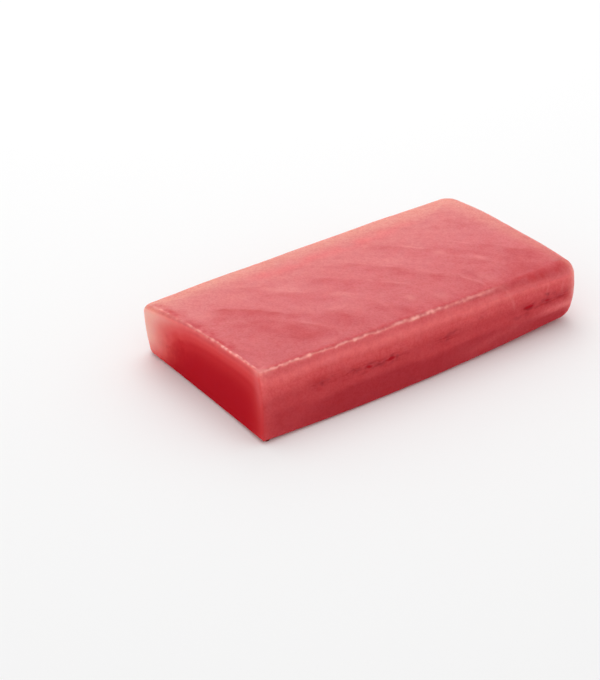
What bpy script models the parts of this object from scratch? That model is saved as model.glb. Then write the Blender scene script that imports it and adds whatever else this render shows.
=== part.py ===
"""A block of raw tuna, squared off from the loin, with one end freshly sliced.

The block is a single solid. It starts as a cube that is cut into a grid, and every point of the
grid is then worked out from the named sizes below: a slab with rounded upright corners, a rim of
changing radius above and below, corners moved off a true box as a knife leaves them, gentle crowns
and bellies, and the low relief of the muscle sheets and of the parted seam along the front.

Metres, +Z up. +X runs along the block from the sliced end to the far end, and the front is -Y.
The origin is the centre of the footprint, on the surface that the block lies on.
"""

import math

import bmesh
import bpy
import numpy as np

MM = 0.001

# Driving dimensions: the box that the block was squared to.
LENGTH = 170 * MM
WIDTH = 86.5 * MM
HEIGHT = 28.5 * MM

# How far each corner of the block lies off that box, in millimetres along X, Y and Z. The names
# run end_side: the cut end is -X, the far end +X, the front -Y and the back +Y.
TOP_CORNERS = {
    "cut_front": (3.5, 4.6, 0.0),
    "far_front": (0.2, -1.3, -0.8),
    "far_back": (0.6, -0.7, 0.0),
    "cut_back": (-2.0, -3.3, -2.4),
}
BOTTOM_CORNERS = {
    "cut_front": (-1.0, -4.0, 0.0),
    "far_front": (-1.2, -0.2, 0.0),
    "far_back": (0.0, 0.0, 0.0),
    "cut_back": (3.2, 0.4, 0.0),
}

# Radii of the four upright corners, seen from above.
UPRIGHT_RADII = {"cut_front": 1.7, "far_front": 6.0, "far_back": 7.6, "cut_back": 4.7}

# Radii of the rims. Each side of the block has a value at its two corners and one at its middle.
# The fresh cut leaves a crisp rim, and the handled far end and back are soft.
TOP_RIM = {
    "cut_front": 1.2, "front": 1.4, "far_front": 4.0, "far": 3.9,
    "far_back": 4.1, "back": 4.1, "cut_back": 3.5, "cut": 1.3,
}
BOTTOM_RIM = {
    "cut_front": 4.0, "front": 2.1, "far_front": 7.2, "far": 6.0,
    "far_back": 4.0, "back": 3.0, "cut_back": 3.0, "cut": 1.5,
}

# The shoulder is a narrow slope under the front rim, which widens towards the far end.
SHOULDER_WIDTH = {
    "cut_front": 0.3, "front": 0.8, "far_front": 2.5, "far": 0.0,
    "far_back": 0.0, "back": 0.0, "cut_back": 0.0, "cut": 0.0,
}
SHOULDER_HEIGHT = 4.5 * MM
SHOULDER_FADE = 6  # power by which the shoulder's pull dies away across the top

# Crowns, bows and bellies: how far the middle of each face stands out from its corners.
CROWN_ALONG = 0.8 * MM
CROWN_ACROSS = 1.7 * MM
FRONT_FOOT_BOW = 1.5 * MM
FRONT_RIM_BOW = 0.1 * MM
BACK_BOW = 0.8 * MM
CUT_HOLLOW = 1.3 * MM
FAR_BOW = 0.3 * MM
SIDE_BELLY = 1.3 * MM
FAR_BELLY = 1.7 * MM

# Muscle sheets: curved leaves of flesh, which cross the top in nested arcs and run down the sides.
SHEET_PITCH = 24 * MM
SHEET_START = 6 * MM
SHEET_SLOPE_FRONT = 0.1
SHEET_SLOPE_BACK = 1.0
SHEET_BEND = 40 * MM  # the sheets curve up to this far behind the front, and run straight beyond
SHEET_GROOVE = 0.15 * MM
GROOVE_SHARPNESS = 6

# Slow unevenness of hand-cut flesh, as a sum of sine waves.
LUMP_HEIGHT = 0.22 * MM
LUMP_WAVES = 9
LUMP_SHORTEST = 28 * MM
LUMP_LONGEST = 75 * MM
LUMP_SEED = 11

# The seam where the flesh has begun to part along the front, a little over halfway up.
SEAM_HEIGHT = 0.56
SEAM_HALF_WIDTH = 1.1 * MM
SEAM_DEPTH = 0.2 * MM
GAPE_DEPTH = 0.5 * MM
# Each gape is a short split along the seam: its place along the front, from 0 to 1, its length in
# millimetres, and how far it has opened.
GAPES = [
    (0.18, 6, 0.35), (0.27, 6, 0.45), (0.315, 5, 0.8), (0.38, 6, 1.0),
    (0.55, 5, 0.45), (0.825, 5, 1.0), (0.885, 6, 0.6), (0.925, 5, 0.4),
]

# The grid: how many cells run along X, Y and Z, and how strongly they crowd towards the edges.
CELLS = (50, 28, 16)
CROWDING = 0.88
RIM_SHARE = 0.5  # share of the rows, above and below, that goes into the two rims
ROW_CROWDING = 0.6  # how strongly the rows of the side walls crowd towards the seam

FOOT_FADE = 4 * MM  # relief dies away over this height, so the underside stays flat

FLESH_COLOUR = (0.56, 0.115, 0.125, 1.0)
FLESH_ROUGHNESS = 0.38
FLESH_SCATTER = 0.003


def clear_scene():
    for obj in list(bpy.data.objects):
        bpy.data.objects.remove(obj)


def cut_across(mesh, axis, cells):
    """Splits every edge that runs along the axis into cells, and the faces between them."""
    along = [e for e in mesh.edges if abs((e.verts[0].co - e.verts[1].co)[axis]) > 1e-6]
    bmesh.ops.subdivide_edges(mesh, edges=along, cuts=cells - 1, use_grid_fill=True)


def gridded_cube(name):
    """A cube from -1 to 1 whose six faces are cut into the grid."""
    mesh = bmesh.new()
    bmesh.ops.create_cube(mesh, size=2)
    for axis, cells in enumerate(CELLS):
        cut_across(mesh, axis, cells)
    data = bpy.data.meshes.new(name)
    mesh.to_mesh(data)
    mesh.free()
    return data


def read_points(data):
    flat = np.empty(len(data.vertices) * 3, np.float32)
    data.vertices.foreach_get("co", flat)
    return flat.reshape(-1, 3).astype(float)


def write_points(data, points):
    data.vertices.foreach_set("co", points.astype(np.float32).ravel())
    data.update()


def smooth_step(t):
    t = np.clip(t, 0, 1)
    return t * t * (3 - 2 * t)


def through_three(start, middle, end, t):
    """The parabola through start at 0, middle at a half and end at 1."""
    return start * (1 - t) * (1 - 2 * t) + 4 * middle * t * (1 - t) + end * t * (2 * t - 1)


def around(values, u, v):
    """A value that changes around the block, from those at its corners and the middles of its sides."""
    along, across = (u + 1) / 2, (v + 1) / 2
    front = through_three(values["cut_front"], values["front"], values["far_front"], along)
    back = through_three(values["cut_back"], values["back"], values["far_back"], along)
    cut = through_three(values["cut_front"], values["cut"], values["cut_back"], across)
    far = through_three(values["far_front"], values["far"], values["far_back"], across)
    on_front, on_back, on_cut = v < -0.9999, v > 0.9999, u < -0.9999
    return MM * np.select([on_front, on_back, on_cut], [front, back, cut], far)


def outline(u, v):
    """The rounded rectangle seen from above: a point and its outward normal for each (u, v)."""
    front_radii = np.where(u < 0, UPRIGHT_RADII["cut_front"], UPRIGHT_RADII["far_front"])
    back_radii = np.where(u < 0, UPRIGHT_RADII["cut_back"], UPRIGHT_RADII["far_back"])
    radius = MM * np.where(v < 0, front_radii, back_radii)[:, None]
    corner = np.stack([u * LENGTH / 2, v * WIDTH / 2], axis=1)
    reach = np.array([LENGTH / 2, WIDTH / 2]) - radius
    centre = np.clip(corner, -reach, reach)
    normal = corner - centre
    normal /= np.linalg.norm(normal, axis=1, keepdims=True)
    return centre + normal * radius, normal


def at_corners(moves, along, across):
    """The corner moves blended over the block: along and across run from 0 to 1."""
    shares = {
        "cut_front": (1 - along) * (1 - across),
        "far_front": along * (1 - across),
        "far_back": along * across,
        "cut_back": (1 - along) * across,
    }
    return MM * sum(shares[name][:, None] * np.array(move) for name, move in moves.items())


def slab(u, v, w):
    """The smooth block, for points of the cube. u, v and w run from -1 to 1 along X, Y and Z.

    A point of a side wall follows the outline, drawn in by a quarter circle at each rim. A point of
    the top or the underside lies on the straight line from the middle of that face to its rim.
    """
    spread = np.maximum(np.abs(u), np.abs(v))
    safe = np.maximum(spread, 1e-9)
    ring_u, ring_v = np.where(spread > 0, u / safe, 1.0), np.where(spread > 0, v / safe, 0.0)
    edge, normal = outline(ring_u, ring_v)
    top, bottom = around(TOP_RIM, ring_u, ring_v), around(BOTTOM_RIM, ring_u, ring_v)
    radius = np.where(w > 0, top, bottom)

    turn = np.clip((np.abs(w) - RIM_SHARE) / (1 - RIM_SHARE), 0, 1) * math.pi / 2
    inset = radius * (1 - np.cos(turn))
    from_face = radius * (1 - np.sin(turn))
    row = np.clip(w / RIM_SHARE, -1, 1)
    row = (1 - ROW_CROWDING) * row + ROW_CROWDING * row**3
    row += (2 * SEAM_HEIGHT - 1) * (1 - row * row)
    wall = bottom + (HEIGHT - top - bottom) * (row + 1) / 2
    z = np.where(w > RIM_SHARE, HEIGHT - from_face, np.where(w < -RIM_SHARE, from_face, wall))
    plan = (edge - normal * inset[:, None]) * spread[:, None]
    x, y = plan.T

    slope = np.clip(1 - (HEIGHT - z) / SHOULDER_HEIGHT, 0, 1) * np.clip(-normal[:, 1], 0, 1)
    y = y + around(SHOULDER_WIDTH, ring_u, ring_v) * slope * spread**SHOULDER_FADE
    return moved_off_box(x, y, z)


def moved_off_box(x, y, z):
    """Carries a point of the true box to the block: corner moves, then crowns, bows and bellies."""
    along = np.clip(x / LENGTH + 0.5, 0, 1)
    across = np.clip(y / WIDTH + 0.5, 0, 1)
    up = z / HEIGHT
    high, low = at_corners(TOP_CORNERS, along, across), at_corners(BOTTOM_CORNERS, along, across)
    moved = np.stack([x, y, z], axis=1) + up[:, None] * high + (1 - up)[:, None] * low

    arch_along, arch_across = 1 - (2 * along - 1) ** 2, 1 - (2 * across - 1) ** 2
    belly = np.sin(math.pi * up)
    front_bow = FRONT_RIM_BOW * up + FRONT_FOOT_BOW * (1 - up)
    moved[:, 0] += arch_across * (CUT_HOLLOW * (1 - along) + FAR_BOW * along)
    moved[:, 0] += FAR_BELLY * belly * np.clip(2 * along - 1, 0, 1)
    moved[:, 1] += arch_along * (BACK_BOW * across - front_bow * (1 - across))
    moved[:, 1] += SIDE_BELLY * belly * (2 * across - 1)
    moved[:, 2] += up * (CROWN_ALONG * arch_along + CROWN_ACROSS * arch_across)
    return moved


def sheet_number(x, y):
    """Counts the muscle sheets along the block. It is a whole number on each wall between two sheets.

    A wall moves along the block by its slope, which grows by a smooth step up to the bend.
    """
    t = y + WIDTH / 2
    bent = np.clip(t / SHEET_BEND, 0, 1)
    beyond = np.maximum(t - SHEET_BEND, 0)
    steeper = SHEET_BEND * (bent**3 - bent**4 / 2) + beyond
    shift = SHEET_SLOPE_FRONT * t + (SHEET_SLOPE_BACK - SHEET_SLOPE_FRONT) * steeper
    return (x + LENGTH / 2 + shift - SHEET_START) / SHEET_PITCH


def sheet_relief(points):
    """A shallow groove along each wall between two sheets."""
    wave = np.cos(2 * math.pi * sheet_number(points[:, 0], points[:, 1]))
    return -SHEET_GROOVE * ((1 + wave) / 2) ** GROOVE_SHARPNESS


def lump_relief(points):
    """Slow swells: sine waves of random direction, length and phase."""
    random = np.random.default_rng(LUMP_SEED)
    height = np.zeros(len(points))
    for _ in range(LUMP_WAVES):
        direction = random.normal(size=3)
        direction /= np.linalg.norm(direction)
        wave_length = random.uniform(LUMP_SHORTEST, LUMP_LONGEST)
        phase = random.uniform(0, 2 * math.pi)
        height += np.sin(points @ direction * 2 * math.pi / wave_length + phase)
    return LUMP_HEIGHT * height / math.sqrt(LUMP_WAVES)


def seam_relief(points, front):
    """The groove of the seam on the front, with the deeper gapes along it."""
    off = (points[:, 2] - SEAM_HEIGHT * HEIGHT) / SEAM_HALF_WIDTH
    across = np.exp(-off * off)
    along = points[:, 0] + LENGTH / 2
    depth = np.full(len(points), SEAM_DEPTH)
    for place, length, opened in GAPES:
        off = (along - place * LENGTH) / (length * MM / 2)
        depth += opened * GAPE_DEPTH * np.exp(-off * off)
    return -depth * across * front


def add_relief(data):
    """Moves the points along their normals by the relief, but leaves the underside flat."""
    points = read_points(data)
    flat = np.empty(len(points) * 3, np.float32)
    data.vertex_normals.foreach_get("vector", flat)
    normals = flat.reshape(-1, 3).astype(float)
    front = smooth_step((-normals[:, 1] - 0.5) / 0.4)
    height = sheet_relief(points) + lump_relief(points) + seam_relief(points, front)
    height *= smooth_step(points[:, 2] / FOOT_FADE)
    write_points(data, points + normals * height[:, None])


def centre_footprint(data):
    """Puts the origin at the centre of the footprint, on the underside."""
    points = read_points(data)
    low, high = points.min(axis=0), points.max(axis=0)
    points -= [(low[0] + high[0]) / 2, (low[1] + high[1]) / 2, low[2]]
    write_points(data, points)


def crowded(t):
    """Moves evenly spaced grid lines towards the two ends of the range -1 to 1."""
    return np.sin(t * CROWDING * math.pi / 2) / math.sin(CROWDING * math.pi / 2)


def flesh_material():
    material = bpy.data.materials.new("raw_flesh")
    material.use_nodes = True
    shader = material.node_tree.nodes["Principled BSDF"]
    shader.inputs["Base Color"].default_value = FLESH_COLOUR
    shader.inputs["Roughness"].default_value = FLESH_ROUGHNESS
    shader.inputs["Metallic"].default_value = 0.0
    shader.inputs["Subsurface Weight"].default_value = 1.0
    shader.inputs["Subsurface Scale"].default_value = FLESH_SCATTER
    return material


def tuna_block(collection):
    data = gridded_cube("tuna_block")
    u, v, w = read_points(data).T
    write_points(data, slab(crowded(u), crowded(v), w))
    add_relief(data)
    centre_footprint(data)
    data.shade_smooth()
    data.materials.append(flesh_material())
    block = bpy.data.objects.new("tuna_block", data)
    collection.objects.link(block)
    return block


def main():
    clear_scene()
    collection = bpy.data.collections.new("raw_tuna_block")
    bpy.context.scene.collection.children.link(collection)
    tuna_block(collection)


main()
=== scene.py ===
"""The looks of a block of raw tuna: one moist, half clear piece of flesh on a pale studio floor.

Metres, +Z up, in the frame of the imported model: +X runs from the sliced end to the far end, and
the front is -Y.
"""

import itertools
import math

import bpy
import numpy as np
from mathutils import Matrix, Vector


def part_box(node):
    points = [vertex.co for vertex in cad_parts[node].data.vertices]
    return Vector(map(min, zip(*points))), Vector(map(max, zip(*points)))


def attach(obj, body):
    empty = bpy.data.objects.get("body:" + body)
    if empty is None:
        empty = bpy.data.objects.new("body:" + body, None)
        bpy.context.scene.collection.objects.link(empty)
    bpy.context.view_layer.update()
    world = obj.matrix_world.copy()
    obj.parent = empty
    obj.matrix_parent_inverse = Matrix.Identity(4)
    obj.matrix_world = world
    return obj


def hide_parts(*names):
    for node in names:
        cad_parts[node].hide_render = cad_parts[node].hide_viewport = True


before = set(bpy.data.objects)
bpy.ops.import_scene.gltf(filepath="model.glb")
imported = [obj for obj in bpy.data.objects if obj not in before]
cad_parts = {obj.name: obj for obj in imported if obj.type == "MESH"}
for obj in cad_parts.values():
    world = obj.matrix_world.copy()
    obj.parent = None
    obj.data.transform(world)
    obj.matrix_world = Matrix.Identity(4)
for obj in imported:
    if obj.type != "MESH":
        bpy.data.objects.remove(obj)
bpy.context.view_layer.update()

# ------------------------------------------------------------------------------------------------
# The block: a slab squared off from the loin of a tuna and pressed a little by its own wrapping.
# One end is freshly sliced. It is one mesh, whose every point is worked out from the sizes below
# as a function of its place (u, v, w) on a cube, each running from -1 to 1 along X, Y and Z.

MM = 0.001
LENGTH = 170 * MM
WIDTH = 86.5 * MM
HEIGHT = 28.5 * MM

# How far each corner lies off a true box, in millimetres, as the knife left it.
TOP_CORNERS = {
    "cut_front": (3.5, 4.6, 0.0),
    "far_front": (0.2, -1.3, -0.8),
    "far_back": (0.6, -0.7, 0.0),
    "cut_back": (-2.0, -3.3, -2.4),
}
BOTTOM_CORNERS = {
    "cut_front": (-1.0, -4.0, 0.0),
    "far_front": (-1.2, -0.2, 0.0),
    "far_back": (0.0, 0.0, 0.0),
    "cut_back": (3.2, 0.4, 0.0),
}
# How round the uprights and the rims are, and how far the shoulder under the front rim stands out,
# in millimetres: at each corner, and at the middle of each side.
UPRIGHT_RADII = {"cut_front": 1.7, "far_front": 6.0, "far_back": 7.6, "cut_back": 4.7}
TOP_RIM = {
    "cut_front": 1.2, "front": 1.4, "far_front": 4.0, "far": 3.9,
    "far_back": 4.1, "back": 4.1, "cut_back": 3.5, "cut": 1.3,
}
BOTTOM_RIM = {
    "cut_front": 4.0, "front": 2.1, "far_front": 7.2, "far": 6.0,
    "far_back": 4.0, "back": 3.0, "cut_back": 3.0, "cut": 1.5,
}
SHOULDER_WIDTH = {
    "cut_front": 0.3, "front": 0.8, "far_front": 2.5, "far": 0.0,
    "far_back": 0.0, "back": 0.0, "cut_back": 0.0, "cut": 0.0,
}
SHOULDER_HEIGHT = 4.5 * MM
SHOULDER_FADE = 6
# The crowns lift the top, the bows and the hollow bend the sides' outlines, and the bellies swell
# the walls.
CROWN_ALONG = 0.8 * MM
CROWN_ACROSS = 1.7 * MM
FRONT_FOOT_BOW = 1.5 * MM
FRONT_RIM_BOW = 0.1 * MM
BACK_BOW = 0.8 * MM
CUT_HOLLOW = 1.3 * MM
FAR_BOW = 0.3 * MM
SIDE_BELLY = 1.3 * MM
FAR_BELLY = 1.7 * MM

SEAM_HEIGHT = 0.56  # the seam's height, as a share of the block's
RIM_SHARE = 0.5  # share of w, above and below, that goes into the two rims
ON_SIDE = 0.9999  # a point this far out along u or v lies on that side of the outline
ROW_CROWDING = 0.6  # how strongly the rows of the walls crowd towards the seam


def smooth_step(t):
    """0 below 0, 1 above 1, and an S-shaped cubic between."""
    t = np.clip(t, 0, 1)
    return t * t * (3 - 2 * t)


def through_three(start, middle, end, t):
    """The parabola through start at 0, middle at a half and end at 1."""
    return start * (1 - t) * (1 - 2 * t) + 4 * middle * t * (1 - t) + end * t * (2 * t - 1)


def around(values, u, v):
    """A size in metres that changes around the block: a parabola along each side of its outline."""
    along, across = (u + 1) / 2, (v + 1) / 2
    front = through_three(values["cut_front"], values["front"], values["far_front"], along)
    back = through_three(values["cut_back"], values["back"], values["far_back"], along)
    cut = through_three(values["cut_front"], values["cut"], values["cut_back"], across)
    far = through_three(values["far_front"], values["far"], values["far_back"], across)
    on_front, on_back, on_cut = v < -ON_SIDE, v > ON_SIDE, u < -ON_SIDE
    return MM * np.select([on_front, on_back, on_cut], [front, back, cut], far)


def outline(u, v):
    """The rounded rectangle: the corner circle's centre plus its radius along the outward normal."""
    front_radii = np.where(u < 0, UPRIGHT_RADII["cut_front"], UPRIGHT_RADII["far_front"])
    back_radii = np.where(u < 0, UPRIGHT_RADII["cut_back"], UPRIGHT_RADII["far_back"])
    radius = MM * np.where(v < 0, front_radii, back_radii)[:, None]
    corner = np.stack([u * LENGTH / 2, v * WIDTH / 2], axis=1)
    reach = np.array([LENGTH / 2, WIDTH / 2]) - radius
    centre = np.clip(corner, -reach, reach)
    normal = corner - centre
    normal /= np.linalg.norm(normal, axis=1, keepdims=True)
    return centre + normal * radius, normal


def at_corners(moves, along, across):
    """The corner moves, blended evenly over the block's length and width."""
    shares = {
        "cut_front": (1 - along) * (1 - across),
        "far_front": along * (1 - across),
        "far_back": along * across,
        "cut_back": (1 - along) * across,
    }
    return MM * sum(shares[name][:, None] * np.array(move) for name, move in moves.items())


def moved_off_box(x, y, z):
    """The point of the true box plus its corner moves, crowns, bows and bellies.

    Each crown and bow is a parabola that is nothing at the corners, and a belly is half a sine wave
    from the foot to the top.
    """
    along = np.clip(x / LENGTH + 0.5, 0, 1)
    across = np.clip(y / WIDTH + 0.5, 0, 1)
    up = z / HEIGHT
    high, low = at_corners(TOP_CORNERS, along, across), at_corners(BOTTOM_CORNERS, along, across)
    moved = np.stack([x, y, z], axis=1) + up[:, None] * high + (1 - up)[:, None] * low
    arch_along, arch_across = 1 - (2 * along - 1) ** 2, 1 - (2 * across - 1) ** 2
    belly = np.sin(math.pi * up)
    front_bow = FRONT_RIM_BOW * up + FRONT_FOOT_BOW * (1 - up)
    moved[:, 0] += arch_across * (CUT_HOLLOW * (1 - along) + FAR_BOW * along)
    moved[:, 0] += FAR_BELLY * belly * np.clip(2 * along - 1, 0, 1)
    moved[:, 1] += arch_along * (BACK_BOW * across - front_bow * (1 - across))
    moved[:, 1] += SIDE_BELLY * belly * (2 * across - 1)
    moved[:, 2] += up * (CROWN_ALONG * arch_along + CROWN_ACROSS * arch_across)
    return moved


def nearest_rim(u, v):
    """How far out each point lies, from 0 to 1, and the rim's point that the ray through it meets.

    It gives the share, that point's (u, v), its place and the outward normal there.
    """
    spread = np.maximum(np.abs(u), np.abs(v))
    safe = np.maximum(spread, 1e-9)
    ring_u, ring_v = np.where(spread > 0, u / safe, 1.0), np.where(spread > 0, v / safe, 0.0)
    edge, normal = outline(ring_u, ring_v)
    return spread, ring_u, ring_v, edge, normal


def slab(u, v, w):
    """The smooth block.

    A point of a wall follows the outline, drawn in by a quarter circle at each rim. A point of the
    top or the underside lies on the straight line from the middle of that face to its rim.
    """
    spread, ring_u, ring_v, edge, normal = nearest_rim(u, v)
    top, bottom = around(TOP_RIM, ring_u, ring_v), around(BOTTOM_RIM, ring_u, ring_v)
    radius = np.where(w > 0, top, bottom)
    turn = np.clip((np.abs(w) - RIM_SHARE) / (1 - RIM_SHARE), 0, 1) * math.pi / 2
    inset = radius * (1 - np.cos(turn))
    from_face = radius * (1 - np.sin(turn))
    row = np.clip(w / RIM_SHARE, -1, 1)
    row = (1 - ROW_CROWDING) * row + ROW_CROWDING * row**3
    row += (2 * SEAM_HEIGHT - 1) * (1 - row * row)
    wall = bottom + (HEIGHT - top - bottom) * (row + 1) / 2
    z = np.where(w > RIM_SHARE, HEIGHT - from_face, np.where(w < -RIM_SHARE, from_face, wall))
    x, y = ((edge - normal * inset[:, None]) * spread[:, None]).T
    slope = np.clip(1 - (HEIGHT - z) / SHOULDER_HEIGHT, 0, 1) * np.clip(-normal[:, 1], 0, 1)
    y = y + around(SHOULDER_WIDTH, ring_u, ring_v) * slope * spread**SHOULDER_FADE
    return moved_off_box(x, y, z)


ALONG_CELLS = 360
ACROSS_CELLS = 120
WALL_ROWS = 24
CLOSE_ROWS = 8  # rows in place of a wall's topmost two, so that the lips above them end sharply
RIM_ROWS = 7
UNDER_RINGS = 9
LINE_CROWDING = 0.72  # how strongly the lines of the top crowd towards its rims


def crowded(cells):
    """Grid lines from -1 to 1 that stand closer at both ends: the sine of evenly spaced angles."""
    t = np.linspace(-1, 1, cells + 1)
    return np.sin(t * LINE_CROWDING * math.pi / 2) / math.sin(LINE_CROWDING * math.pi / 2)


def block_grid():
    """The cube's points (u, v, w) and its faces.

    The walls are rings of points, one above the other, closest on the rims and just below the top
    one. The topmost ring is filled by a grid, and the lowest by ever smaller rings and a fan.
    """
    us, vs = crowded(ALONG_CELLS), crowded(ACROSS_CELLS)
    ring_u = np.concatenate([us[:-1], np.ones(ACROSS_CELLS), us[:0:-1], -np.ones(ACROSS_CELLS)])
    ring_v = np.concatenate([-np.ones(ALONG_CELLS), vs[:-1], np.ones(ALONG_CELLS), vs[:0:-1]])
    count = len(ring_u)
    rim = np.linspace(RIM_SHARE, 1, RIM_ROWS + 1)
    wall = np.linspace(-RIM_SHARE, RIM_SHARE, WALL_ROWS + 1)
    close = np.linspace(wall[-3], RIM_SHARE, CLOSE_ROWS + 1)
    heights = np.concatenate([-rim[::-1], wall[1:-3], close[:-1], rim])
    shrink = np.linspace(1, 0, UNDER_RINGS + 2)[1:-1]

    walls = np.stack(np.broadcast_arrays(ring_u, ring_v, heights[:, None]), axis=-1).reshape(-1, 3)
    inner = np.stack(np.meshgrid(us[1:-1], vs[1:-1], [1.0], indexing="ij"), axis=-1).reshape(-1, 3)
    under = np.stack(
        np.broadcast_arrays(ring_u * shrink[:, None], ring_v * shrink[:, None], -1.0), axis=-1
    ).reshape(-1, 3)
    points = np.concatenate([walls, inner, under, [[0.0, 0.0, -1.0]]])

    def belt(lower, upper):
        """Quads between two rings of points."""
        return np.stack([lower, np.roll(lower, -1), np.roll(upper, -1), upper], axis=1)

    rows = np.arange(len(walls)).reshape(-1, count)
    last = rows[-1]
    lid = np.empty((ALONG_CELLS + 1, ACROSS_CELLS + 1), int)
    lid[1:-1, 1:-1] = len(walls) + np.arange(len(inner)).reshape(ALONG_CELLS - 1, -1)
    far, back = ALONG_CELLS, ALONG_CELLS + ACROSS_CELLS
    lid[:, 0] = last[: far + 1]
    lid[-1, :] = last[far : back + 1]
    lid[:, -1] = last[back : back + far + 1][::-1]
    lid[0, :] = np.append(last[back + far :], last[0])[::-1]
    tops = np.stack([lid[:-1, :-1], lid[1:, :-1], lid[1:, 1:], lid[:-1, 1:]], axis=-1).reshape(-1, 4)
    rings = len(walls) + len(inner) + np.arange(len(under)).reshape(-1, count)
    floors = [belt(b, a) for a, b in zip([rows[0], *rings[:-1]], rings)]
    quads = np.concatenate([belt(a, b) for a, b in zip(rows[:-1], rows[1:])] + [tops] + floors)
    middle = np.full(count, len(points) - 1)
    fan = np.stack([rings[-1], middle, np.roll(rings[-1], -1)], axis=1)
    return points, quads.tolist() + fan.tolist()


grid, faces = block_grid()
u, v, w = grid.T
flesh = bpy.data.meshes.new("flesh")
flesh.from_pydata(slab(u, v, w), [], faces)
flesh.shade_smooth()

# ------------------------------------------------------------------------------------------------
# The relief: what the knife and the grain of the meat leave on that form. Muscle sheets cross the
# block in nested arcs and run down its walls, the front has begun to part along a seam, and the
# crisp rims carry a lip of small beads where the blade dragged.

# The muscle sheets: how far apart they lie, how they lean along the block from the front to the
# back, how far they waver, and the groove that each leaves.
SHEET_PITCH = 24 * MM
SHEET_START = 6 * MM
SHEET_SLOPE_FRONT = 0.1
SHEET_SLOPE_BACK = 0.85
SHEET_BEND = 34 * MM
SHEET_WAVER = 2.5 * MM
SHEET_WAVER_SIZE = 12 * MM
SHEET_GROOVE = 0.03 * MM
SHEET_SHARPNESS = 12
# Small dimples, and slow lumps from a few waves.
DIMPLE_SIZE = 3.2 * MM
DIMPLE_RELIEF = 0.04 * MM
LUMP_HEIGHT = 0.22 * MM
LUMP_WAVES = 9
LUMP_SHORTEST = 28 * MM
LUMP_LONGEST = 75 * MM
LUMP_SEED = 11
# The seam, and the gapes on it, which are short splits.
SEAM_HALF_WIDTH = 1.0 * MM
SEAM_DEPTH = 0.16 * MM
SEAM_STRAY = 0.8 * MM
SEAM_STRAY_SIZE = 9 * MM
GAPE_DEPTH = 0.4 * MM
GAPE_HALF_HEIGHT = 0.6 * MM
GAPE_ENDS = 2.2  # a gape's length over its bell curve's reach
# Each gape's place along the front, from 0 to 1, its length in millimetres, and how far it has
# opened.
GAPES = [
    (0.18, 6, 0.35), (0.27, 6, 0.35), (0.315, 5, 0.7), (0.38, 6, 1.0),
    (0.55, 5, 0.45), (0.825, 6, 1.2), (0.885, 6, 0.7), (0.925, 5, 0.3),
]
# Each lip's line lies this far over its rim, and strays about it. The front one drops a little on
# its way from the cut end.
FRONT_LIP_AT = 1.35 * MM
FRONT_LIP_DROP = 0.15 * MM
CUT_LIP_AT = 0.7 * MM
LIP_STRAY = 0.22 * MM
LIP_STRAY_SIZES = (4 * MM, 1.4 * MM)
LIP_HALF_WIDTH = 0.45 * MM
LIP_HEIGHT = 0.10 * MM
CLUMP_SIZE = 4.5 * MM
BEAD_SIZE = 1.3 * MM
BEAD_HEIGHT = 0.10 * MM
# Where the cut end's lip is plainest: each stretch's start and end across the block, from 0 to 1,
# how soon it fades, and how plain it is.
PLAIN_STRETCHES = [(0.12, 0.44, 0.08, 1.0), (0.78, 0.88, 0.05, 0.7)]
# The two lips meet in a knot: how plain it is, how far over the rim it lies, and its reach along
# the rims and down.
KNOT = 0.6
KNOT_AT = 1.2 * MM
KNOT_REACH = 5.0 * MM
KNOT_DROP = 1.7 * MM
# The ridge below the shoulder: how far over the rim it starts, and how far it sinks from there.
RIDGE_AT = 4.4 * MM
RIDGE_SINK = 0.9 * MM
RIDGE_HALF_WIDTH = 1.9 * MM
RIDGE_HEIGHT = 0.10 * MM
# The fold's height, as a share of the block's, rises from its start along the front, up to its end.
FOLD_START = 0.61
FOLD_END = 0.81
FOLD_LOWEST = 0.16
FOLD_RISE = 1.05
FOLD_HALF_WIDTH = 2.0 * MM
FOLD_HEIGHT = 0.25 * MM
TUCK_BELOW = 2.4 * MM
FOOT_FADE = 4 * MM  # all relief fades out this far above the foot


def soft_noise(size, seed):
    """Random values from -1 to 1 at the corners of cells of that size, for every point.

    They are blended between the corners by smooth steps.
    """
    cells = 64
    corners = np.random.default_rng(seed).uniform(-1, 1, (cells, cells, cells))
    place = points / size
    cell = np.floor(place).astype(int)
    share = smooth_step(place - cell)
    total = np.zeros(len(points))
    for corner in itertools.product((0, 1), repeat=3):
        weight = np.prod(np.where(corner, share, 1 - share), axis=1)
        total += weight * corners[tuple(((cell + corner) % cells).T)]
    return total


def bell(distance, reach):
    """1 where the distance is nothing, falling away as a bell curve of that reach."""
    return np.exp(-((distance / reach) ** 2))


def between(value, start, end, fade):
    """1 from start to end, with a smooth step down to 0 over the fade at each."""
    return smooth_step((value - start) / fade + 0.5) * smooth_step((end - value) / fade + 0.5)


FACING_FADE = 0.4  # how slowly a side's look goes over into its neighbour's


def facing(share, least):
    """1 where the skin faces a way: a smooth step of its normal's share along it, from the least."""
    return smooth_step((share - least) / FACING_FADE)


def sheet_shift(t):
    """How far a muscle sheet has moved along the block by a distance t behind the front.

    Its slope grows by a smooth step up to the bend, and stays the same behind it.
    """
    bent = np.clip(t / SHEET_BEND, 0, 1)
    beyond = np.maximum(t - SHEET_BEND, 0)
    steeper = SHEET_BEND * (bent**3 - bent**4 / 2) + beyond
    return SHEET_SLOPE_FRONT * t + (SHEET_SLOPE_BACK - SHEET_SLOPE_FRONT) * steeper


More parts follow.
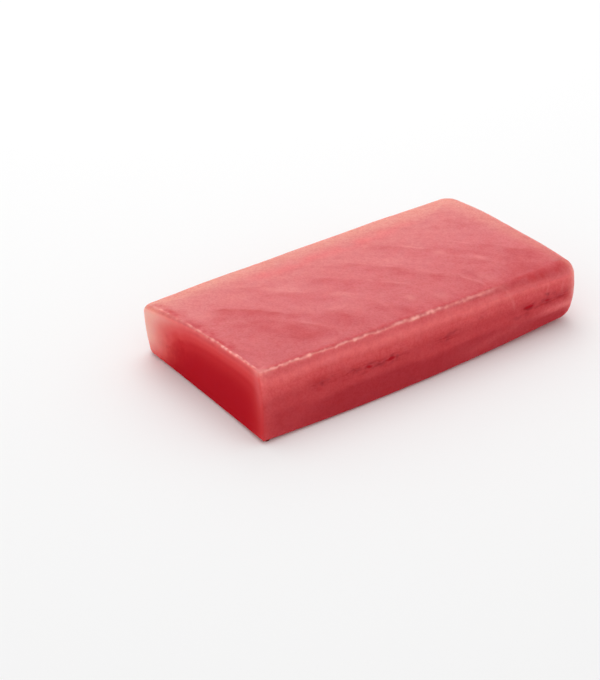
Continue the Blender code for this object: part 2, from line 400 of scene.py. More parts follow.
def lump_relief(points):
    """Slow swells: sine waves of random direction, length and phase."""
    random = np.random.default_rng(LUMP_SEED)
    height = np.zeros(len(points))
    for _ in range(LUMP_WAVES):
        direction = random.normal(size=3)
        direction /= np.linalg.norm(direction)
        wave_length = random.uniform(LUMP_SHORTEST, LUMP_LONGEST)
        phase = random.uniform(0, 2 * math.pi)
        height += np.sin(points @ direction * 2 * math.pi / wave_length + phase)
    return LUMP_HEIGHT * height / math.sqrt(LUMP_WAVES)


points = np.empty(len(grid) * 3, np.float32)
flesh.vertices.foreach_get("co", points)
points = points.reshape(-1, 3).astype(float)
normals = np.empty(len(grid) * 3, np.float32)
flesh.vertex_normals.foreach_get("vector", normals)
normals = normals.reshape(-1, 3).astype(float)

# Distances over the skin. The distance over the rim counts from the inner edge of the rim's quarter
# circle: it is below nothing on the top, and grows over the rim and on down the wall.
below_top = slab(u, v, np.ones(len(w)))[:, 2] - points[:, 2]
along, across, up = (u + 1) / 2, (v + 1) / 2, points[:, 2] / HEIGHT
from_cut, from_front, from_back = along * LENGTH, across * WIDTH, (1 - across) * WIDTH
spread, ring_u, ring_v, edge, outward = nearest_rim(u, v)
rim_radius = around(TOP_RIM, ring_u, ring_v)
turn = np.clip((w - RIM_SHARE) / (1 - RIM_SHARE), 0, 1) * math.pi / 2
behind_rim = (1 - spread) * np.sum(edge * outward, axis=1)
on_rim = (math.pi / 2 - turn) * rim_radius - behind_rim
over_rim = np.where(turn > 0, on_rim, below_top + (math.pi / 2 - 1) * rim_radius)
front_upright, back_upright = np.hypot(from_cut, from_front), np.hypot(from_cut, from_back)
far_upright = np.hypot(LENGTH - from_cut, from_front)

on_front, on_cut = facing(-normals[:, 1], 0.5), facing(-normals[:, 0], 0.5)
on_top = facing(normals[:, 2], 0.35)
by_front = (ring_v < -ON_SIDE) * between(along, 0.01, 0.985, 0.02)
by_cut = (ring_u < -ON_SIDE) * smooth_step((0.99 - across) / 0.06)

# The lips run all along the cut end, and along the front until that rim turns soft. They are thin
# wandering threads that swell in clumps and beads, plainest along two stretches of the cut end. The
# material paints a glint along them.
clump = smooth_step(0.5 + 1.1 * soft_noise(CLUMP_SIZE, 8))
bead = smooth_step(0.38 + 1.3 * soft_noise(BEAD_SIZE, 20))
plain = sum(
    strength * between(across, start, end, fade) for start, end, fade, strength in PLAIN_STRETCHES
)
cut_lip = (from_cut == 0) * smooth_step((0.97 - across) / 0.1) * (0.25 + 0.45 * clump + 0.5 * plain)
front_fade = smooth_step((0.78 - along) / 0.12) * (0.6 + 0.4 * smooth_step((0.62 - along) / 0.2))
front_fade *= 1 - 0.35 * bell(from_cut - 3 * MM, 4 * MM)
front_lip = (from_front == 0) * front_fade * (0.76 + 0.3 * clump)
front_lip_at = FRONT_LIP_AT + FRONT_LIP_DROP * smooth_step((along - 0.15) / 0.3)
lip_reach = LIP_HALF_WIDTH * (0.8 + 0.2 * clump + 0.4 * bead)
slow, quick = LIP_STRAY_SIZES
stray = LIP_STRAY * (soft_noise(slow, 19) + 0.9 * soft_noise(quick, 7))
cut_lip *= bell(over_rim - CUT_LIP_AT + stray, lip_reach) * (0.35 + 0.65 * bead)
front_lip *= bell(over_rim - front_lip_at + stray, lip_reach) * (0.5 + 0.5 * bead)
knot = bell(np.hypot(front_upright / KNOT_REACH, (over_rim - KNOT_AT) / KNOT_DROP), 1)
knot *= KNOT * (spread == 1) * (0.5 + 0.5 * bead)
lip = np.max([cut_lip, front_lip, knot], axis=0)

# The shoulder under the front rim ends in a soft ridge, which sinks a little towards the far end.
# Low on the far half a fold climbs towards the far end, with the foot tucked in beneath it.
ridge_at = RIDGE_AT + RIDGE_SINK * smooth_step(along / 0.45)
ridge = bell(over_rim - ridge_at, RIDGE_HALF_WIDTH) * on_front * smooth_step((along - 0.02) / 0.1)
fold_up = FOLD_LOWEST + FOLD_RISE * (np.clip(along, FOLD_START, FOLD_END) - FOLD_START)
fold_share = on_front * smooth_step((along - 0.66) / 0.16) * smooth_step((1.0 - along) / 0.03)
off_fold = (up - fold_up) * HEIGHT
fold = bell(off_fold, FOLD_HALF_WIDTH) * fold_share
under_fold = bell(off_fold + TUCK_BELOW, FOLD_HALF_WIDTH) * fold_share

# The seam wanders a little about its height, and each gape is a bell curve along and across it.
off_seam = points[:, 2] - SEAM_HEIGHT * HEIGHT - SEAM_STRAY * soft_noise(SEAM_STRAY_SIZE, 3)
seam = bell(off_seam, SEAM_HALF_WIDTH) * on_front
openings = sum(
    opened * bell(from_cut - place * LENGTH, length * MM / GAPE_ENDS)
    for place, length, opened in GAPES
)
ragged = 0.75 + 0.5 * soft_noise(1.4 * MM, 4)
gape = np.clip(openings * bell(off_seam, GAPE_HALF_HEIGHT) * on_front * ragged, 0, 1)

sheets = from_cut + sheet_shift(from_front) - SHEET_START
wavering = sheets + SHEET_WAVER * soft_noise(SHEET_WAVER_SIZE, 2)
near_sheet = (1 + np.cos(2 * math.pi * wavering / SHEET_PITCH)) / 2
height = lump_relief(points) + DIMPLE_RELIEF * soft_noise(DIMPLE_SIZE, 12)
height -= SHEET_GROOVE * near_sheet**SHEET_SHARPNESS * (1 - on_cut)
height += RIDGE_HEIGHT * ridge - SEAM_DEPTH * seam - GAPE_DEPTH * gape
height += FOLD_HEIGHT * (fold - under_fold) + lip * (LIP_HEIGHT + BEAD_HEIGHT * bead)
height *= smooth_step(points[:, 2] / FOOT_FADE)
formed = points + normals * height[:, None]

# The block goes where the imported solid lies.
low, high = (np.array(corner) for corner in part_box("tuna_block"))
middle = (formed.min(axis=0) + formed.max(axis=0)) / 2
formed += [(low[0] + high[0]) / 2 - middle[0], (low[1] + high[1]) / 2 - middle[1], low[2]]
flesh.vertices.foreach_set("co", formed.astype(np.float32).ravel())

# ------------------------------------------------------------------------------------------------
# The tints: flesh looks deep where a sheet darkens and on the fresh cut, and pale where a sheet's
# wall comes up. Among them is painted light and shade: a painted glow where the rims are thin enough
# for light to come through, painted shade low on the front, beside the lips and over the cut's core,
# and painted highlights on the uprights, the fold and the ridge. Each tint is a mask from 0 to 1,
# kept on the mesh's points.

# The muscle sheets that show on the top. Each darkens up to the pale wall that ends it: the wall's
# place along the block at its middle, where it starts and ends behind the front, how wide the dark
# is before it, all in millimetres, how dark the flesh is there, and how pale the wall.
SHEET_WALLS = [
    (30, 27, 57, 15, 0.82, 0.30), (18, 30, 44, 5, 0.15, 0.25), (55.5, 31, 55, 10, 0.45, 0.60),
    (81, 22, 52, 11, 0.62, 0.45), (96, 34, 58, 12, 0.55, 0.60), (107, 18, 37, 12, 0.65, 0.20),
    (117.5, 40, 64, 9, 0.52, 0.60), (135, 20, 36, 14, 0.45, 0.20), (135, 41, 56, 5, 0.25, 0.40),
    (42, 4, 26, 10, 0.40, 0.45), (57, 8, 24, 11, 0.75, 0.20), (74, 8, 22, 8, 0.45, 0.15),
    (81, 0, 9, 7, 0.70, 0.10), (124, 11, 20, 6, 0.50, 0.00), (118.5, 0, 18, 5, 0.30, 0.50),
    (159, 12, 35, 12, 0.70, 0.20), (152, 0, 12, 12, 0.70, 0.00), (38, 55, 72, 6, 0.45, 0.10),
    (156, 50, 63, 7, 0.50, 0.10), (66, 49, 62, 6, 0.25, 0.10), (113, 54, 66, 7, 0.30, 0.10),
    (33, 8, 38, 15, 0.92, 0.10), (147, 4, 46, 7, 0.50, 0.00),
]
SHEET_DRIFT = 2.6 * MM
SHEET_FRAY = 1.0 * MM
SHEET_ENDS = 7 * MM
WALL_HALF_WIDTH = 0.9 * MM
WALL_PALENESS = 0.42
DARK_BREAK = 6 * MM
# Each pale patch: its middle, along the block and behind the front, its half width along and its
# half length across, all in millimetres, and how pale it is.
PALE_PATCHES = [
    (2, 1, 3.5, 2, 0.90), (4, 5, 5, 5, 0.30), (8, 55, 6, 5, 0.50), (50, 53, 4.5, 6, 0.55),
    (65, 33, 3.5, 5, 0.45), (56, 24, 3, 2.5, 0.40), (126, 40, 2.5, 3, 0.60), (138, 26, 2.5, 2.5, 0.60),
    (86, 13, 2.5, 3, 0.50), (100, 6, 3, 4, 0.40), (128, 7, 3, 6, 0.40), (36, 3, 5, 2, 0.30),
    (103, 46, 5, 6, 0.30), (63, 22, 6, 6, 0.30),
]
PATCH_PALENESS = 0.35
# Each bruise is a dark streak beside the seam: its place along the front, from 0 to 1, how far it
# lies above the seam and its length, in millimetres, and how dark it is.
BRUISES = [
    (0.195, 0.3, 6, 0.5), (0.29, -0.8, 8, 0.3), (0.345, -0.3, 8, 0.5), (0.41, 1.0, 7, 0.4),
    (0.57, 1.0, 8, 0.3), (0.65, 3.0, 14, 0.25), (0.70, -5.0, 14, 0.3), (0.80, -3.0, 9, 0.5),
    (0.86, -1.2, 6, 0.5), (0.895, 3.0, 6, 0.6), (0.945, 1.5, 5, 0.35),
]
BRUISE_DEPTH = 1.5
BRUISE_HALF_HEIGHT = 1.0 * MM
MOUTH_HALF_HEIGHT = 1.3 * MM
# Each sinew on the front: its place along the block, and from how high to how high it shows.
FRONT_SINEWS = [(109, 11, 18), (131, 17, 28), (150, 18, 26), (160, 13, 26), (166, 8, 25)]
SINEW_HALF_WIDTH = 0.8 * MM
SINEW_PALENESS = 0.12
# How strong the painted glow is that stands for light coming through, and how far in it reaches, at
# the soft rims and the soft uprights. The back rim's and the far rim's reach grow by so much towards
# the far back corner.
BACK_LIGHT, BACK_REACH, BACK_GROWTH = 0.93, 7.5 * MM, 2 * MM
BACK_DIP, BACK_DIP_AT, BACK_DIP_REACH = 0.11, 0.45, 0.25  # the back rim is less light by its middle
FAR_LIGHT, FAR_REACH, FAR_GROWTH = 0.25, 3 * MM, 4 * MM
CUT_LIGHT, CUT_REACH = 0.75, 4.5 * MM
BACK_UPRIGHT_LIGHT, BACK_UPRIGHT_REACH = 0.95, 12 * MM
FAR_UPRIGHT_LIGHT, FAR_UPRIGHT_REACH = 0.4, 5 * MM
# How far below its rim, and how far inside the pale back, the fresh cut gets deep: its own deep
# red, darkened further by painted shade.
DEEP_BELOW = 5 * MM
DEEP_INSIDE = 26 * MM
# The low part of the front is dark, painted shade, up to this share of its height.
LOW_LINE = 0.43
# Each dusky band beside a lip, painted shade with some darker flesh on the far shoulder: how strong
# it is, how far over the rim it lies, and its reach. At the far corner the shoulder's is stronger,
# higher and wider by the second row's amounts.
SHOULDER_DUSK, SHOULDER_DUSK_AT, SHOULDER_DUSK_REACH = 0.2, 3.2 * MM, 1.2 * MM
FAR_DUSK, FAR_DUSK_HIGHER, FAR_DUSK_WIDER = 0.6, 0.6 * MM, 1.8 * MM
RIM_DUSK, RIM_DUSK_REACH = 0.4, 1.2 * MM
EDGE_DUSK, EDGE_DUSK_AT, EDGE_DUSK_REACH = 0.3, -1.5 * MM, 3.5 * MM
ABOVE_CUT_LIP, ABOVE_CUT_LIP_AT, ABOVE_CUT_LIP_REACH = 0.3, -1.0 * MM, 2.4 * MM
BELOW_CUT_LIP, BELOW_CUT_LIP_AT, BELOW_CUT_LIP_REACH = 0.4, 2.6 * MM, 1.2 * MM
UPRIGHT_DUSK, UPRIGHT_DUSK_REACH = 0.62, 2.6 * MM
RED_BAND_AT, RED_BAND_REACH = 13 * MM, 5 * MM  # inside the back edge of the top
# Painted highlights: how light each is, where it lies and its reach.
LOW_LIGHT, LOW_LIGHT_AT, LOW_LIGHT_REACH = 0.08, 22 * MM, 4 * MM
NEAR_LIGHT, NEAR_LIGHT_AT, NEAR_LIGHT_REACH = 0.27, 1.5 * MM, 3.5 * MM
END_LIGHT, END_LIGHT_AT, END_LIGHT_REACH = 0.5, 1.0 * MM, 5 * MM


def store(name, values):
    """Keeps one number, or a vector, for each point of the mesh, for the material to read."""
    kind, field = ("FLOAT_VECTOR", "vector") if np.ndim(values) == 2 else ("FLOAT", "value")
    attribute = flesh.attributes.new(name, kind, "POINT")
    attribute.data.foreach_set(field, np.asarray(values, np.float32).ravel())


def sheet_masks():
    """How dark each point's sheet is and how pale its wall.

    The dark is a bell curve that breaks off at the wall, and the wall a narrow bell curve beyond.
    """
    clear, pale = np.ones(len(points)), np.zeros(len(points))
    drift = SHEET_DRIFT * soft_noise(9 * MM, 15) + SHEET_FRAY * soft_noise(2.8 * MM, 14)
    patchy = smooth_step(0.6 + 0.8 * soft_noise(5 * MM, 16))
    blotchy = 0.9 + 0.5 * soft_noise(5 * MM, 26)
    for place, start, end, width, darkness, paleness in SHEET_WALLS:
        at_middle = sheet_shift(np.array((start + end) / 2 * MM))
        beyond = sheets + SHEET_START - place * MM - at_middle + drift
        shown = between(from_front, start * MM, end * MM, SHEET_ENDS) * on_top
        dark = smooth_step(0.6 - beyond / DARK_BREAK) * bell(np.minimum(beyond, 0), width * MM)
        clear *= 1 - np.clip(darkness * shown * dark * blotchy, 0, 1)
        wall = WALL_PALENESS * paleness * shown * patchy
        pale = np.maximum(pale, wall * bell(beyond - WALL_HALF_WIDTH, WALL_HALF_WIDTH))
    for x, t, half_width, half_length, paleness in PALE_PATCHES:
        off_sheet = sheets + SHEET_START - x * MM - sheet_shift(np.array(t * MM)) + drift
        reach = np.hypot(off_sheet / (half_width * MM), (from_front - t * MM) / (half_length * MM))
        pale = np.maximum(pale, PATCH_PALENESS * paleness * bell(reach, 1.0) * on_top)
    for x, start, end in FRONT_SINEWS:
        shown = between(points[:, 2], start * MM, end * MM, 3 * MM) * on_front
        thread = bell(from_cut - x * MM + drift, SINEW_HALF_WIDTH)
        pale = np.maximum(pale, SINEW_PALENESS * shown * patchy * thread)
    specks = between(from_back, 15 * MM, 28 * MM, 8 * MM) * between(along, 0.2, 0.9, 0.2) * on_top
    clear *= 1 - 0.2 * specks * smooth_step(0.3 + 1.3 * soft_noise(2.4 * MM, 24))
    return 1 - clear, pale


uneven = soft_noise(14 * MM, 9) + 0.5 * soft_noise(5 * MM, 10)
patches = 0.8 + 0.4 * soft_noise(2.2 * MM, 21)
sheet_dark, sheet_pale = sheet_masks()
# A painted glow stands for the light that comes through the soft rims: the back one, the far one as
# it nears the back, and the back end of the cut one, and through the uprights at the back and the far
# end of the front.
into_wall = np.maximum(below_top - rim_radius / 2, 0)
backwards = smooth_step(across / 0.6)
back_reach = BACK_REACH + BACK_GROWTH * smooth_step((along - 0.6) / 0.3)
far_reach = FAR_REACH + FAR_GROWTH * backwards
at_back = bell(np.hypot(from_back, into_wall), back_reach)
at_back *= BACK_LIGHT - BACK_DIP * bell(along - BACK_DIP_AT, BACK_DIP_REACH)
at_far = (FAR_LIGHT + 0.4 * backwards) * bell(np.hypot(LENGTH - from_cut, into_wall), far_reach)
at_cut = smooth_step((across - 0.6) / 0.4) * bell(np.hypot(from_cut, into_wall), CUT_REACH)
at_cut *= CUT_LIGHT * smooth_step(over_rim / (1.5 * MM))
by_back = BACK_UPRIGHT_LIGHT * bell(back_upright, BACK_UPRIGHT_REACH)
by_back *= smooth_step(points[:, 2] / (12 * MM))
by_far = FAR_UPRIGHT_LIGHT * bell(far_upright, FAR_UPRIGHT_REACH) * smooth_step((up - 0.2) / 0.3)
painted_glow = 1 - np.prod([1 - painted_light for painted_light in (at_back, at_far, at_cut, by_back, by_far)], axis=0)
painted_glow *= 0.95 + 0.1 * uneven
# The fresh cut is deepest a good way below its rim and inside the pale back, whose edge is ragged:
# its own deep red with painted shade over it, and a painted lighter veil near its front edge.
below_rim = 1 - np.exp(-((below_top / DEEP_BELOW) ** 1.1))
pale_back = DEEP_INSIDE - 0.6 * below_top
pale_back += 3 * MM * soft_noise(3.5 * MM, 25) + 1.5 * MM * soft_noise(1.3 * MM, 27)
inside_back = 1 - np.exp(-((from_back / pale_back) ** 1.9))
near_front = 1 - 0.12 * bell(from_front, 9 * MM) - 0.15 * bell(from_front, 2.5 * MM)
# Painted shade: the low part of the front is dark up to an uneven line, but not beside the cut end,
# and by the fold towards the far end the line gives way, with the foot tucked in under the fold dark
# too.
dark_line = smooth_step((LOW_LINE - up - 0.03 * uneven) / 0.08)
dark_start = 0.5 * smooth_step((along - 0.01) / 0.04)
dark_start += 0.5 * smooth_step((along - 0.03 - 0.25 * up) / 0.12)
above_fold = smooth_step((up - fold_up - 0.02) / 0.07) * smooth_step((0.76 - along) / 0.12)
before_fold = smooth_step((0.66 - along) / 0.08)
tucked = smooth_step((fold_up - 0.04 - up) / 0.07) * smooth_step((along - 0.63) / 0.1)
tucked *= smooth_step((0.985 - along) / 0.03)
low_shade = dark_line * dark_start * np.maximum(above_fold, before_fold) + tucked
low_shade += 0.58 * between(along, 0.60, 0.88, 0.1) * smooth_step((0.44 - up) / 0.1)
# Dusky bands, painted shade with some darker flesh on the far shoulder, run beside the lips: by the
# front one on the shoulder, on the rim, and along the far half of the top's edge, and by the cut one
# on the top's edge and just below the lip, where they also dim the painted glow. One more band of
# painted shade runs down the cut's side of the front upright.
far_part = smooth_step((along - 0.74) / 0.08)
shoulder_dusk = bell(
    over_rim - SHOULDER_DUSK_AT + FAR_DUSK_HIGHER * far_part,
    SHOULDER_DUSK_REACH + FAR_DUSK_WIDER * far_part,
)
shoulder_dusk *= SHOULDER_DUSK + FAR_DUSK * far_part
rim_dusk = RIM_DUSK * bell(over_rim, RIM_DUSK_REACH)
edge_dusk = EDGE_DUSK * bell(over_rim - EDGE_DUSK_AT, EDGE_DUSK_REACH)
edge_dusk *= between(along, 0.42, 0.96, 0.1)
front_dusk = np.max([shoulder_dusk, rim_dusk, edge_dusk], axis=0) * by_front
above_lip = bell(over_rim - ABOVE_CUT_LIP_AT, ABOVE_CUT_LIP_REACH)
above_lip *= ABOVE_CUT_LIP + 0.5 * smooth_step((across - 0.15) / 0.2)
below_lip = BELOW_CUT_LIP * bell(over_rim - BELOW_CUT_LIP_AT, BELOW_CUT_LIP_REACH)
below_lip *= smooth_step((0.72 - across) / 0.2)
cut_dusk = np.maximum(above_lip, below_lip) * by_cut * (0.85 + 0.6 * soft_noise(1.8 * MM, 28))
painted_glow *= 1 - 0.6 * cut_dusk
upright_dusk = UPRIGHT_DUSK * bell(front_upright, UPRIGHT_DUSK_REACH) * on_cut
dark_flesh_and_shade = np.max([front_dusk, cut_dusk, upright_dusk], axis=0) * patches
# A clearer red band runs along the top inside its pale back edge.
red_band = bell(from_back - RED_BAND_AT, RED_BAND_REACH) * between(along, 0.27, 0.85, 0.1) * on_top
red_band *= smooth_step(0.7 + 0.9 * soft_noise(7 * MM, 18))
# The splits are bruised round their mouths, and dark streaks lie beside the seam.
near_gapes = sum(bell(from_cut - place * LENGTH, 7 * MM) for place, _, _ in GAPES)
bruise = np.clip(openings, 0, 1) ** 0.6 * bell(off_seam, MOUTH_HALF_HEIGHT)
for place, above, length, strength in BRUISES:
    streak = bell(off_seam - above * MM, BRUISE_HALF_HEIGHT)
    streak *= bell(from_cut - place * LENGTH, length * MM / 2)
    bruise = np.maximum(bruise, strength * streak)
bruise *= BRUISE_DEPTH * on_front * smooth_step(0.65 + 0.8 * soft_noise(1.6 * MM, 23))
# Painted highlights on the fold, low on the far half of the front, and along both its uprights.
fold_light = fold * (0.1 + 0.6 * smooth_step((along - 0.84) / 0.1)) * patches
low_light = LOW_LIGHT * bell(below_top - LOW_LIGHT_AT, LOW_LIGHT_REACH) * on_front
low_light *= between(along, 0.58, 0.86, 0.1)
near_light = NEAR_LIGHT * bell(front_upright - NEAR_LIGHT_AT, NEAR_LIGHT_REACH) * (1 - on_top)
near_light *= smooth_step((up - 0.2) / 0.7)
end_light = END_LIGHT * bell(far_upright - END_LIGHT_AT, END_LIGHT_REACH)
end_light *= between(up, 0.25, 0.9, 0.2)

store("grain", np.stack([sheets, points[:, 1], points[:, 2]], axis=1))
store("on_wall", 1 - on_top)
store("on_cut", on_cut * (1 - on_top))
store("across", across)
# The depth below the top sets where the walls' painted lit band and painted shade lie.
depth_share = below_top / HEIGHT + 0.03 * uneven + 0.035 * smooth_step((along - 0.6) / 0.2)
store("depth", np.clip(depth_share, 0, 1))
store("sheet", sheet_dark)
store("sinew", sheet_pale)
# Painted shade on the low part of the front and under the fold.
store("low", np.clip(low_shade, 0, 1) * on_front)
# Painted shade deepens the cut end's own red below its rim and inside its pale back.
store("cut_red_and_shade", below_rim * inside_back * near_front)
# A painted glow for the light that comes through the thin rims and uprights.
store("painted_glow", np.clip(painted_glow, 0, 1))
# Painted highlights on the uprights, the fold and low on the far half of the front.
store("painted_light", np.max([near_light, end_light, fold_light + low_light], axis=0))
# Painted highlight along the ridge below the shoulder.
store("ridge", ridge * between(along, 0.05, 0.97, 0.1) * np.clip(patches + 0.5 * uneven, 0, 1.4))
# Painted shade beside the lips and down the front upright, with some darker flesh on the far shoulder.
store("dark_flesh_and_shade", dark_flesh_and_shade)
store("red", red_band)
store("gape", gape)
store("seam", bell(off_seam, 2.4 * MM) * on_front * np.clip(0.1 + near_gapes, 0, 1))
store("bruise", np.clip(bruise, 0, 1))
# The lips' mask also carries a painted glint along the rims.
store("lip", lip)
flesh.update()

# ------------------------------------------------------------------------------------------------
# The flesh's finish: moist muscle, clear enough for light to wander some millimetres in it. It is
# pink where the light gets through, deep red on the fresh cut, partly from painted shade, and pale
# along the thin rims, where a glow is painted.

# Each ramp's stops are a place on its range and the colour there: the top's run from the front to
# the back, lighter towards the back by painted light, the walls' from the top down, a painted lit
# band under the rim over painted shade lower down, and the fresh cut's from its rim to its deepest
# part, its own deep red with painted shade over the core.
TOP_LIT_COLOURS = [
    (0.0, (0.645, 0.138, 0.149)), (0.45, (0.685, 0.165, 0.174)), (0.85, (0.71, 0.191, 0.188)),
]
WALL_LIT_AND_SHADED_COLOURS = [
    (0.04, (0.80, 0.170, 0.176)), (0.17, (0.84, 0.181, 0.184)),
    (0.28, (0.73, 0.120, 0.125)), (0.45, (0.59, 0.070, 0.080)),
]
CUT_RED_AND_SHADE_COLOURS = [
    (0.0, (0.85, 0.190, 0.185)), (0.435, (0.76, 0.091, 0.093)), (0.632, (0.69, 0.057, 0.061)),
    (0.813, (0.56, 0.024, 0.030)), (1.0, (0.44, 0.0085, 0.016)),
]
# Painted shade on the low part of the front.
LOW_SHADE_RED = (0.46, 0.036, 0.048)
# Painted shade beside the lips, with some darker flesh on the far shoulder.
DARK_FLESH_AND_SHADE_RED = (0.58, 0.055, 0.065)
BRUISE_RED = (0.32, 0.026, 0.038)
CLEAR_RED = (0.84, 0.130, 0.130)
# A painted highlight, on the uprights, the fold and the ridge.
HIGHLIGHT_PINK = (0.90, 0.24, 0.24)
# A painted glow for light coming through the thin rims, on the top and on the walls.
GLOW_PALE = (0.81, 0.31, 0.245)
GLOW_PALE_WALL = (0.98, 0.49, 0.41)
SINEW = (0.92, 0.36, 0.34)
# A painted glint along the beaded lips.
GLINT_PINK = (0.98, 0.48, 0.42)
# The splits' own dark red, with painted shade in them.
GAPE_RED_AND_SHADE = (0.46, 0.008, 0.018)
DEEPER = (0.86, 0.55, 0.57)  # what a deep place leaves of the flesh's colour
LIGHT_WANDERS = 2.4 * MM  # how far light wanders in the flesh, and each colour's share of that
LIGHT_SHARES = (1.0, 0.25, 0.18)
WET_ROUGHNESS = 0.22
WATER_IOR = 1.36
BUMP_HEIGHT = 0.08 * MM


def flesh_material():
    """The flesh: its tints laid over one another from the masks, its speckle, and its wet sheen."""
    material = bpy.data.materials.new("raw tuna flesh")
    material.use_nodes = True
    nodes, links = material.node_tree.nodes, material.node_tree.links
    shader = nodes["Principled BSDF"]

    def feed(socket, value):
        """Links the value if it is another node's output, and otherwise sets it."""
        if isinstance(value, bpy.types.NodeSocket):
            links.new(value, socket)
        else:
            socket.default_value = (*value, 1) if isinstance(value, tuple) else value

    def mix(factor, below, above, blend="MIX"):
        """Colour above over colour below, as strongly as factor says."""
        node = nodes.new("ShaderNodeMix")
        node.data_type = "RGBA"
        node.blend_type = blend
        used = {socket.name: socket for socket in node.inputs if socket.enabled}
        feed(used["Factor"], factor)
        feed(used["A"], below)
        feed(used["B"], above)
        return next(socket for socket in node.outputs if socket.enabled)

    def maths(operation, *values):
        """The result of one sum on the values, in their order."""
        node = nodes.new("ShaderNodeMath")
        node.operation = operation
        for socket, value in zip(node.inputs, values):
            feed(socket, value)
        return node.outputs[0]

    def times(first, second):
        """One value multiplied by the other."""
        return maths("MULTIPLY", first, second)

    def spread(value, low_in, high_in, low_out=0.0, high_out=1.0):
        """Carries one range over to another by a smooth step, and stops at its ends."""
        node = nodes.new("ShaderNodeMapRange")
        node.interpolation_type = "SMOOTHSTEP"
        for socket, number in zip(node.inputs, (value, low_in, high_in, low_out, high_out)):
            feed(socket, number)
        return node.outputs["Result"]

    def ramp(value, stops):
        """A colour that runs through the stops as the value rises."""
        node = nodes.new("ShaderNodeValToRGB")
        node.color_ramp.interpolation = "EASE"
        while len(node.color_ramp.elements) < len(stops):
            node.color_ramp.elements.new(1.0)
        for element, (place, colour) in zip(node.color_ramp.elements, stops):
            element.position = place
            element.color = (*colour, 1)
        feed(node.inputs["Fac"], value)
        return node.outputs["Color"]

    def stored(name, output="Fac"):
        """What the mesh keeps under that name."""
        node = nodes.new("ShaderNodeAttribute")
        node.attribute_name = name
        return node.outputs[output]

    grain_place = stored("grain", "Vector")
    place = nodes.new("ShaderNodeTexCoord").outputs["Object"]

    def noise(source, size, stretch=(1, 1, 1), detail=2.0):
        """Noise whose features are that size in metres, drawn out along an axis with stretch below 1."""
        scaling = nodes.new("ShaderNodeVectorMath")
        scaling.operation = "MULTIPLY"
        links.new(source, scaling.inputs[0])
        scaling.inputs[1].default_value = [share / size for share in stretch]
        node = nodes.new("ShaderNodeTexNoise")
        node.inputs["Scale"].default_value = 1.0
        node.inputs["Detail"].default_value = detail
        links.new(scaling.outputs[0], node.inputs["Vector"])
        return node.outputs["Fac"]

    drifts = noise(grain_place, 7 * MM, (1, 0.7, 0.7), 5)
    fibres = noise(grain_place, 1.4 * MM, (1, 0.25, 0.25), 3)
    mottle = noise(place, 2.2 * MM, detail=5)
    seam_streaks = noise(place, 1.2 * MM, (0.16, 0.5, 1), 3)
    speckle = noise(place, 1.5 * MM, (0.5, 0.5, 1), 1)
    pores = noise(place, 0.9 * MM, detail=3)

    # The flesh, by the side of the block that it shows on, with painted light and shade in its ramps,
    # and the tints that lie over it.
    top, wall = ramp(stored("across"), TOP_LIT_COLOURS), ramp(stored("depth"), WALL_LIT_AND_SHADED_COLOURS)
    colour = mix(stored("on_wall"), top, wall)
    # Painted shade on the low front.
    colour = mix(stored("low"), colour, LOW_SHADE_RED)
    colour = mix(times(stored("red"), 0.4), colour, CLEAR_RED)
    # The cut end: its own deep red, with painted shade over its core.
    colour = mix(stored("on_cut"), colour, ramp(stored("cut_red_and_shade"), CUT_RED_AND_SHADE_COLOURS))
    colour = mix(stored("dark_flesh_and_shade"), colour, DARK_FLESH_AND_SHADE_RED)
    colour = mix(stored("painted_light"), colour, HIGHLIGHT_PINK)
    # A painted glow along the thin rims and uprights.
    colour = mix(stored("painted_glow"), colour, mix(stored("on_wall"), GLOW_PALE, GLOW_PALE_WALL))
    colour = mix(stored("sheet"), colour, DEEPER, "MULTIPLY")
    # Each speckle darkens from the first noise value to the second, by up to the share after them,
    # and the smooth fresh cut has little of it.
    off_cut = maths("MULTIPLY_ADD", stored("on_cut"), -0.8, 1.0)
    speckles = [
        (drifts, 0.46, 0.70, 0.25), (fibres, 0.40, 0.75, 0.06),
        (mottle, 0.35, 0.75, 0.30), (pores, 0.38, 0.68, 0.38),
    ]
    for source, none, full, share in speckles:
        darkened = times(spread(source, none, full), times(off_cut, share))
        colour = mix(darkened, colour, DEEPER, "MULTIPLY")
    # What lies by the seam and the splits, the pale threads, a painted highlight on the ridge, a painted
    # glint along the lips, and the splits' own dark red with painted shade in them.
    dark_streaks = times(spread(seam_streaks, 0.50, 0.64), stored("seam"))
    colour = mix(dark_streaks, colour, DEEPER, "MULTIPLY")
    colour = mix(times(stored("bruise"), spread(speckle, 0.30, 0.62)), colour, BRUISE_RED)
    colour = mix(stored("sinew"), colour, SINEW)
    # A painted highlight along the ridge.
    colour = mix(times(stored("ridge"), 0.25), colour, HIGHLIGHT_PINK)
    # A painted glint along the lips.
    colour = mix(stored("lip"), colour, GLINT_PINK)
    # The splits: their own dark red with painted shade in them.
    colour = mix(spread(stored("gape"), 0.10, 0.6), colour, GAPE_RED_AND_SHADE)
    links.new(colour, shader.inputs["Base Color"])

    # The flesh itself has no shine. The film of moisture on it does, less so on the walls and hardly
    # at all on the fresh cut.
    shader.inputs["Subsurface Weight"].default_value = 1.0
    shader.inputs["Subsurface Radius"].default_value = LIGHT_SHARES
    shader.inputs["Subsurface Scale"].default_value = LIGHT_WANDERS
    shader.inputs["Specular IOR Level"].default_value = 0.0
    feed(shader.inputs["Roughness"], maths("MULTIPLY_ADD", mottle, 0.2, 0.38))
    wet = maths("MULTIPLY_ADD", stored("on_wall"), -0.22, 0.36)
    wet = times(wet, maths("MULTIPLY_ADD", stored("on_cut"), -0.85, 1.0))
    feed(shader.inputs["Coat Weight"], maths("MULTIPLY_ADD", stored("lip"), 0.1, wet))
    shader.inputs["Coat Roughness"].default_value = WET_ROUGHNESS
    shader.inputs["Coat IOR"].default_value = WATER_IOR

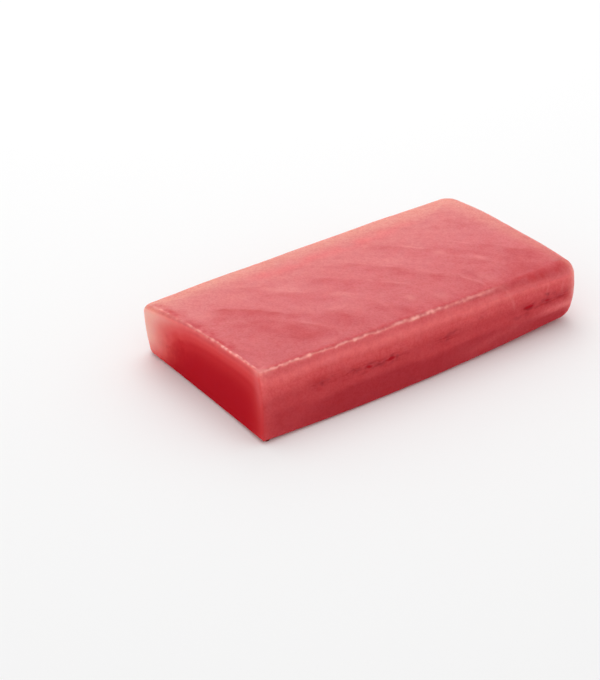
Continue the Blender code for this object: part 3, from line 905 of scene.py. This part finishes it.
    bump = nodes.new("ShaderNodeBump")
    bump.inputs["Strength"].default_value = 1.0
    bump.inputs["Distance"].default_value = BUMP_HEIGHT
    feed(bump.inputs["Height"], maths("MULTIPLY_ADD", fibres, 0.15, pores))
    links.new(bump.outputs["Normal"], shader.inputs["Normal"])
    return material


flesh.materials.append(flesh_material())
block = bpy.data.objects.new("raw_tuna", flesh)
bpy.context.scene.collection.objects.link(block)
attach(block, "root")
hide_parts("tuna_block")

# ------------------------------------------------------------------------------------------------
# The studio: a pale floor that runs out of sight, a wide soft lamp over the block and a little
# behind it, a smaller and weaker one lower down behind it, and an even pale surround.

FLOOR_SIDE = 12.0
FLOOR_WHITE = (0.92, 0.92, 0.92, 1)
FLOOR_ROUGHNESS = 0.9
FLOOR_SHINE = 0.1
# Each lamp: its azimuth from the front and its elevation in degrees, its distance, its side and its
# power in watts.
LAMPS = {"overhead": (160, 70, 1.2, 1.0, 4.2), "behind": (150, 30, 1.2, 0.7, 1.2)}
SURROUND_WHITE = (1, 1, 1, 1)
SURROUND_STRENGTH = 0.78


def studio_floor():
    """One square of matt pale paper, level with the block's foot."""
    half = FLOOR_SIDE / 2
    corners = [(-half, -half, 0), (half, -half, 0), (half, half, 0), (-half, half, 0)]
    sheet = bpy.data.meshes.new("floor")
    sheet.from_pydata(corners, [], [(0, 1, 2, 3)])
    paper = bpy.data.materials.new("pale floor")
    paper.use_nodes = True
    shader = paper.node_tree.nodes["Principled BSDF"]
    shader.inputs["Base Color"].default_value = FLOOR_WHITE
    shader.inputs["Roughness"].default_value = FLOOR_ROUGHNESS
    shader.inputs["Specular IOR Level"].default_value = FLOOR_SHINE
    sheet.materials.append(paper)
    floor = bpy.data.objects.new("floor", sheet)
    floor.location.z = low[2]
    bpy.context.scene.collection.objects.link(floor)


def soft_light(name, azimuth, elevation, distance, side, power):
    """A square lamp that faces the block from that azimuth (0 is in front) and elevation."""
    lamp = bpy.data.lights.new(name, "AREA")
    lamp.shape = "SQUARE"
    lamp.size = side
    lamp.energy = power
    turn, rise = math.radians(azimuth), math.radians(elevation)
    holder = bpy.data.objects.new(name, lamp)
    holder.location = [
        distance * math.sin(turn) * math.cos(rise),
        -distance * math.cos(turn) * math.cos(rise),
        distance * math.sin(rise),
    ]
    holder.rotation_euler = (math.pi / 2 - rise, 0, turn)
    bpy.context.scene.collection.objects.link(holder)


studio_floor()
for name, numbers in LAMPS.items():
    soft_light(name, *numbers)

surround = bpy.data.worlds.new("surround")
surround.use_nodes = True
surround.node_tree.nodes["Background"].inputs["Color"].default_value = SURROUND_WHITE
surround.node_tree.nodes["Background"].inputs["Strength"].default_value = SURROUND_STRENGTH
bpy.context.scene.world = surround
bpy.context.scene.view_settings.view_transform = "Standard"

# The camera: a long lens, from the sliced end's side and a third of a right angle up.
CAMERA_AT = (-456.0 * MM, -568.2 * MM, 408.8 * MM)
CAMERA_AZIMUTH = -36.59
CAMERA_ELEVATION = 29.42
LENS = 101.6

camera = bpy.data.objects.new("camera", bpy.data.cameras.new("camera"))
camera.data.lens = LENS
camera.data.clip_start = 0.01
camera.location = CAMERA_AT
camera.rotation_euler = (math.radians(90 - CAMERA_ELEVATION), 0, math.radians(CAMERA_AZIMUTH))
bpy.context.scene.collection.objects.link(camera)
bpy.context.scene.camera = camera
